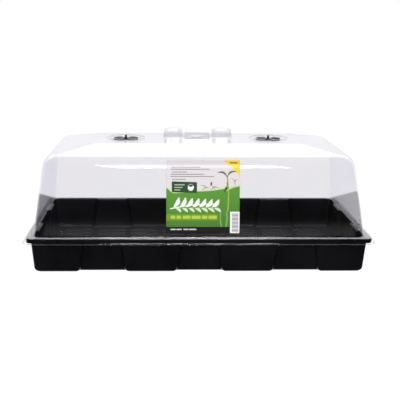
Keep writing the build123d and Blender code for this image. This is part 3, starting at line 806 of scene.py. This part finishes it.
def spread(tree, source, low, high):
    """Maps a pattern from 0.3 to 0.7 onto low to high."""
    made = node(tree, "ShaderNodeMapRange", From_Min=0.3, From_Max=0.7, To_Min=low, To_Max=high)
    tree.links.new(source, made.inputs["Value"])
    return made.outputs["Result"]


def bumps(tree, layers):
    """Chains bump nodes: each layer is (pattern, strength, height in metres)."""
    last = None
    for pattern, strength, height in layers:
        bump = node(tree, "ShaderNodeBump", Strength=strength, Distance=height)
        tree.links.new(pattern, bump.inputs["Height"])
        if last is not None:
            tree.links.new(last.outputs["Normal"], bump.inputs["Normal"])
        last = bump
    return last.outputs["Normal"]


def two_colours(tree, source, dark, light):
    """Blends two colours by a pattern."""
    ramp = node(tree, "ShaderNodeValToRGB")
    ramp.color_ramp.elements[0].position, ramp.color_ramp.elements[1].position = 0.35, 0.68
    ramp.color_ramp.elements[0].color = (*dark, 1)
    ramp.color_ramp.elements[1].color = (*light, 1)
    tree.links.new(source, ramp.inputs["Fac"])
    return ramp.outputs["Color"]


# %% Black plastics
def black_plastic(name, dark, light, rough, gloss, grain):
    """Dull moulded plastic: a cloudy near-black, uneven roughness, orange peel and fine grain."""
    material, tree, output = finish(name)
    shader = node(tree, "ShaderNodeBsdfPrincipled")
    shader.inputs["Specular IOR Level"].default_value = gloss
    cloud = noise_at(tree, 14.0, 4.0)
    peel = noise_at(tree, 420.0, 2.0)
    fine = noise_at(tree, 2600.0, 2.0)
    links = tree.links
    links.new(two_colours(tree, cloud.outputs["Fac"], dark, light), shader.inputs["Base Color"])
    links.new(spread(tree, cloud.outputs["Fac"], *rough), shader.inputs["Roughness"])
    layers = [(peel.outputs["Fac"], 0.25, 0.06 * MM * grain), (fine.outputs["Fac"], 0.3, 0.02 * MM * grain)]
    links.new(bumps(tree, layers), shader.inputs["Normal"])
    links.new(shader.outputs["BSDF"], output.inputs["Surface"])
    return material


tray.data.materials.append(black_plastic(
    "tray_black", (0.0034, 0.0034, 0.0042), (0.0060, 0.0060, 0.0072), (0.24, 0.36), 0.16, 0.6))
rotor_black = black_plastic(
    "rotor_black", (0.006, 0.006, 0.0065), (0.011, 0.011, 0.012), (0.2, 0.3), 0.3, 0.3)
for rotor in rotors:
    rotor.data.materials.clear()
    rotor.data.materials.append(rotor_black)
print("black plastics made")

# %% Clear plastic
SURFACE_TINT = (0.962, 0.958, 0.970, 1.0)
FACE_ON_SHARE, GRAZING_SHARE, SHARE_POWER = 0.04, 0.9, 4.3


def clear_plastic(name):
    """Straight-through tint mixed with a mirror. The mirror's share is FACE_ON_SHARE plus GRAZING_SHARE times
    (1 - cos) to the SHARE_POWER, so a wall seen face on is clear and one seen along its surface is bright."""
    material, tree, output = finish(name)
    links = tree.links
    clear = node(tree, "ShaderNodeBsdfTransparent", Color=SURFACE_TINT)
    mirror = node(tree, "ShaderNodeBsdfGlossy", Color=(0.97, 0.97, 1.0, 1.0), Roughness=0.03)
    facing = node(tree, "ShaderNodeLayerWeight", Blend=0.5)
    power = node(tree, "ShaderNodeMath", operation="POWER")
    power.inputs[1].default_value = SHARE_POWER
    share = node(tree, "ShaderNodeMath", operation="MULTIPLY_ADD")
    share.inputs[1].default_value, share.inputs[2].default_value = GRAZING_SHARE, FACE_ON_SHARE
    peel = noise_at(tree, 35.0, 1.0)
    normal = bumps(tree, [(peel.outputs["Fac"], 0.1, 0.08 * MM)])
    links.new(normal, mirror.inputs["Normal"])
    links.new(facing.outputs["Facing"], power.inputs[0])
    links.new(power.outputs[0], share.inputs[0])
    mix = node(tree, "ShaderNodeMixShader")
    links.new(share.outputs[0], mix.inputs["Fac"])
    links.new(clear.outputs[0], mix.inputs[1])
    links.new(mirror.outputs[0], mix.inputs[2])
    links.new(mix.outputs[0], output.inputs["Surface"])
    return material


dome.data.materials.append(clear_plastic("dome_clear"))


def cut_edge(name):
    """The sheet's cut edge, which gathers light from inside the sheet: half clear, half a milky white."""
    material, tree, output = finish(name)
    links = tree.links
    milky = node(tree, "ShaderNodeBsdfPrincipled", Roughness=0.35)
    streak = noise_at(tree, 300.0, 2.0)
    shade = two_colours(tree, streak.outputs["Fac"], (0.5, 0.5, 0.54), (0.6, 0.6, 0.65))
    links.new(shade, milky.inputs["Base Color"])
    clear = node(tree, "ShaderNodeBsdfTransparent", Color=(0.9, 0.9, 0.92, 1.0))
    mix = node(tree, "ShaderNodeMixShader", Fac=0.6)
    links.new(clear.outputs[0], mix.inputs[1])
    links.new(milky.outputs["BSDF"], mix.inputs[2])
    links.new(mix.outputs[0], output.inputs["Surface"])
    return material


dome.data.materials.append(cut_edge("dome_cut_edge"))
dome.modifiers["wall"].material_offset_rim = 1
print("clear plastic made")


# %% Printed film
def printed_film(name, attribute, plain):
    """Satin printed paper: the painted attribute, or a plain colour, with a clear coat and faint ripples."""
    material, tree, output = finish(name)
    links = tree.links
    shader = node(tree, "ShaderNodeBsdfPrincipled")
    shader.inputs["Coat Weight"].default_value = 0.25 if attribute else 0.0
    shader.inputs["Specular IOR Level"].default_value = 0.3
    shader.inputs["Coat Roughness"].default_value = 0.12
    fibre = noise_at(tree, 1800.0, 3.0)
    ripple = noise_at(tree, 22.0, 1.0)
    links.new(spread(tree, fibre.outputs["Fac"], 0.38, 0.5), shader.inputs["Roughness"])
    layers = [(ripple.outputs["Fac"], 0.2, 1.2 * MM), (fibre.outputs["Fac"], 0.25, 0.015 * MM)]
    links.new(bumps(tree, layers), shader.inputs["Normal"])
    if attribute:
        painted = node(tree, "ShaderNodeVertexColor", layer_name=attribute)
        links.new(painted.outputs["Color"], shader.inputs["Base Color"])
    else:
        shade = two_colours(tree, fibre.outputs["Fac"], plain, tuple(c * 0.94 for c in plain))
        links.new(shade, shader.inputs["Base Color"])
    links.new(shader.outputs["BSDF"], output.inputs["Surface"])
    return material


label.data.materials.append(printed_film("label_print", "print", None))
backing.data.materials.append(printed_film("label_back", None, (0.78, 0.78, 0.76)))
print("label finishes made")

# %% [markdown]
# ## Floor, light and camera
# The object stands on a pale floor in a white room. What a clear sheet looks like is only what it
# mirrors, so the light is set up for that: a white surround behind and above, a dark one in front, and
# one soft box in front and above whose mirror image is the bright line along the shoulder.

# %% Floor
FLOOR_RADIUS, FLOOR_GAP = 2.2, 0.2 * MM
FLOOR_GREY, FLOOR_GLOW = 0.12, 0.98


def floor_disc(radius, steps=96):
    """A flat disc: its rim points by cosine and sine, and one face over all of them."""
    angles = np.linspace(0, 2 * math.pi, steps, endpoint=False)
    rim = np.column_stack([radius * np.cos(angles), radius * np.sin(angles), np.full(steps, -FLOOR_GAP)])
    return mesh_piece("floor", rim, [list(range(steps))])


floor = floor_disc(FLOOR_RADIUS)
floor_finish, floor_tree, floor_output = finish("floor_white")
floor_paint = node(floor_tree, "ShaderNodeBsdfDiffuse", Color=(FLOOR_GREY, FLOOR_GREY, FLOOR_GREY, 1))
floor_glow = node(floor_tree, "ShaderNodeEmission", Color=(1, 1, 1, 1), Strength=FLOOR_GLOW)
floor_sum = node(floor_tree, "ShaderNodeAddShader")
floor_tree.links.new(floor_paint.outputs[0], floor_sum.inputs[0])
floor_tree.links.new(floor_glow.outputs[0], floor_sum.inputs[1])
floor_tree.links.new(floor_sum.outputs[0], floor_output.inputs["Surface"])
floor.data.materials.append(floor_finish)
floor.visible_glossy = False

# %% Surround
scene = bpy.context.scene
world = bpy.data.worlds.new("studio")
scene.world = world
world.use_nodes = True
sky = world.node_tree
sky.nodes.clear()
sky_output = sky.nodes.new("ShaderNodeOutputWorld")
direction = node(sky, "ShaderNodeTexCoord")
parts = node(sky, "ShaderNodeSeparateXYZ")
sky.links.new(direction.outputs["Generated"], parts.inputs[0])


def sky_ramp(axis, start, end, low, high):
    """A smooth change of brightness from low to high, as one axis of the direction goes from start to end."""
    made = node(sky, "ShaderNodeMapRange", From_Min=start, From_Max=end, To_Min=low, To_Max=high,
                interpolation_type="SMOOTHSTEP")
    sky.links.new(parts.outputs[axis], made.inputs["Value"])
    return made.outputs[0]


def sky_math(operation, first, second):
    """One arithmetic step between two values of the surround."""
    made = node(sky, "ShaderNodeMath", operation=operation)
    sky.links.new(first, made.inputs[0])
    sky.links.new(second, made.inputs[1])
    return made.outputs[0]


behind = sky_ramp("Y", 0.1, 0.6, 0.0, 1.0)
high_back = sky_ramp("Z", 0.36, 0.5, 1.0, 2.0)
above = sky_ramp("Z", 0.5, 0.9, 0.0, 0.22)
ahead = sky_ramp("Z", -0.026, -0.042, 0.02, 0.3)
ahead_end = sky_ramp("Z", -0.07, -0.12, 1.0, 0.06)
low_front = sky_math("MULTIPLY", ahead, ahead_end)
back_wall = sky_math("MULTIPLY", behind, high_back)
glow = sky_math("MAXIMUM", sky_math("MAXIMUM", back_wall, above), low_front)
soft_sky = node(sky, "ShaderNodeBackground", Color=(1, 1, 1, 1))
sky.links.new(glow, soft_sky.inputs["Strength"])
white_sky = node(sky, "ShaderNodeBackground", Color=(1, 1, 1, 1), Strength=1.0)
ray = node(sky, "ShaderNodeLightPath")
sky_mix = node(sky, "ShaderNodeMixShader")
sky.links.new(ray.outputs["Is Camera Ray"], sky_mix.inputs["Fac"])
sky.links.new(soft_sky.outputs[0], sky_mix.inputs[1])
sky.links.new(white_sky.outputs[0], sky_mix.inputs[2])
sky.links.new(sky_mix.outputs[0], sky_output.inputs["Surface"])


# %% Lights
def area_light(name, place, target, size, power, mirrored):
    """A rectangular soft light that looks at a target, seen in mirrors only if mirrored is true."""
    data = bpy.data.lights.new(name, "AREA")
    data.shape = "RECTANGLE"
    data.size, data.size_y = size
    data.energy = power
    lamp = bpy.data.objects.new(name, data)
    lamp.location = place
    lamp.rotation_euler = (Vector(target) - Vector(place)).to_track_quat("-Z", "Y").to_euler()
    lamp.visible_glossy = mirrored
    lamp.visible_camera = False
    scene.collection.objects.link(lamp)
    return lamp


soft_box = area_light("soft_box", (0.045, -1.51, 0.80), (0.045, -0.14, 0.19), (0.62, 0.60), 15.0, True)
soft_box.rotation_euler.rotate_axis("Z", math.radians(8))
area_light("front_fill", (-0.3, -2.0, 1.0), (0, 0, 0.1), (1.6, 1.2), 5.0, False)
area_light("overhead", (0.0, 0.2, 1.9), (0, 0, 0), (1.6, 1.2), 7.0, False)
area_light("back_fill", (0.2, 2.0, 1.0), (0, 0, 0.1), (1.6, 1.2), 9.0, False)

# %% Camera
LENS, SHIFT = 72.4, 0.03
CAMERA_PLACE = (-0.06166, -1.4410, 0.4243)
YAW, LOOK_DOWN, ROLL = -1.827, 12.974, 0.451  # degrees
camera_data = bpy.data.cameras.new("Camera")
camera_data.sensor_width = 36.0
camera_data.lens = LENS
camera_data.shift_x = SHIFT
camera = bpy.data.objects.new("Camera", camera_data)
scene.collection.objects.link(camera)
yaw, tilt, roll = math.radians(YAW), math.radians(90 - LOOK_DOWN), math.radians(ROLL)
turned = Matrix.Rotation(yaw, 4, "Z") @ Matrix.Rotation(tilt, 4, "X") @ Matrix.Rotation(roll, 4, "Z")
camera.matrix_world = Matrix.Translation(CAMERA_PLACE) @ turned
scene.camera = camera
scene.view_settings.view_transform = "Standard"
